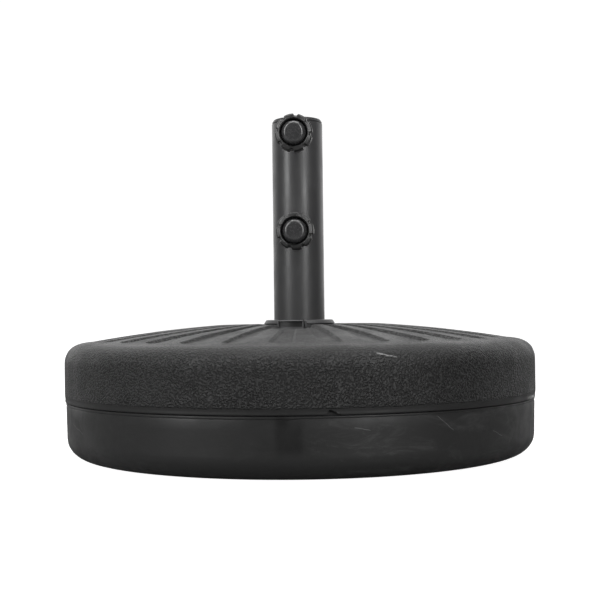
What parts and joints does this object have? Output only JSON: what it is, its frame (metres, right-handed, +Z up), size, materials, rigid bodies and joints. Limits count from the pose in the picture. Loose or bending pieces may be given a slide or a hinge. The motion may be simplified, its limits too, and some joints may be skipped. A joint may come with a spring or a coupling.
{
  "type": "parasol base",
  "caption": "Round free-standing parasol base: concrete-filled two-part plastic shell with radial grooves, turn-in steel tube, reducer sleeve and hand clamp knobs.",
  "frame": {"origin": "on the floor, at the centre of the round base, under the pole's axis", "axes": "+Z up along the pole's axis; -Y is the front, the side of the clamp knobs; +X is to the right seen from the front"},
  "size_m": [0.45, 0.45, 0.3213],
  "materials": {
    "shell_textured": "moulded polyethylene with a leather grain",
    "shell_smooth": "smooth satin polyethylene",
    "concrete": "cast concrete",
    "socket_plastic": "moulded polypropylene",
    "tube_coat": "satin charcoal powder coat on steel",
    "nut_coat": "powder coat on steel",
    "rivet": "bright",
    "collar_plastic": "moulded satin plastic",
    "spring_steel": "bare strip",
    "screw_steel": "zinc plated",
    "nylon": "natural nylon",
    "grip": "satin grip plastic",
    "cap_gloss": "glossy"
  },
  "bodies": {
    "base": {"upper_shell": "shell_textured", "lower_shell": "shell_smooth", "concrete_ballast": "concrete", "hub_socket": "socket_plastic", "filler_plug_left": "socket_plastic", "filler_plug_right": "socket_plastic"},
    "tube_assembly": {"tube": "tube_coat", "tube_foot": "socket_plastic", "foot_rivet_left": "rivet", "foot_rivet_right": "rivet", "collar_ring": "collar_plastic", "tab_spring": "spring_steel", "reducer_sleeve": "collar_plastic", "weld_nut_upper": "nut_coat", "weld_nut_lower": "nut_coat"},
    "tab": {"release_tab": "collar_plastic"},
    "pad_upper": {"pressure_pad_upper": "nylon"},
    "knob_and_screw_upper": {"clamp_screw_upper": "screw_steel", "knob_upper": "grip", "knob_cap_upper": "cap_gloss"},
    "pad_lower": {"pressure_pad_lower": "nylon"},
    "knob_and_screw_lower": {"clamp_screw_lower": "screw_steel", "knob_lower": "grip", "knob_cap_lower": "cap_gloss"}
  },
  "joints": [
    {"name": "tube_turn", "type": "hinge", "parent": "base", "child": "tube_assembly", "pos_m": [0, 0, 0.108], "axis": [0, 0, 1], "range_deg": [-25, 0]},
    {"name": "tab_press", "type": "slide", "parent": "tube_assembly", "child": "tab", "axis": [0.2588, 0.9659, 0], "range_m": [0, 0.001], "stiffness_N_per_m": 900, "springref_m": -0.0006},
    {"name": "pad_feed_upper", "type": "slide", "parent": "tube_assembly", "child": "pad_upper", "axis": [0.0628, 0.998, 0], "range_m": [0, 0.009]},
    {"name": "knob_turn_upper", "type": "hinge", "parent": "pad_upper", "child": "knob_and_screw_upper", "pos_m": [0, 0, 0.3008], "axis": [0.0628, 0.998, 0], "range_deg": [0, 2165]},
    {"name": "pad_feed_lower", "type": "slide", "parent": "tube_assembly", "child": "pad_lower", "axis": [0.0628, 0.998, 0], "range_m": [0, 0.009]},
    {"name": "knob_turn_lower", "type": "hinge", "parent": "pad_lower", "child": "knob_and_screw_lower", "pos_m": [0, 0, 0.209], "axis": [0.0628, 0.998, 0], "range_deg": [0, 2165]}
  ],
  "couplings": [
    {"joint": "knob_turn_upper", "follows": "pad_feed_upper", "rad_per_m": 4188.8},
    {"joint": "knob_turn_lower", "follows": "pad_feed_lower", "rad_per_m": 4188.8}
  ]
}
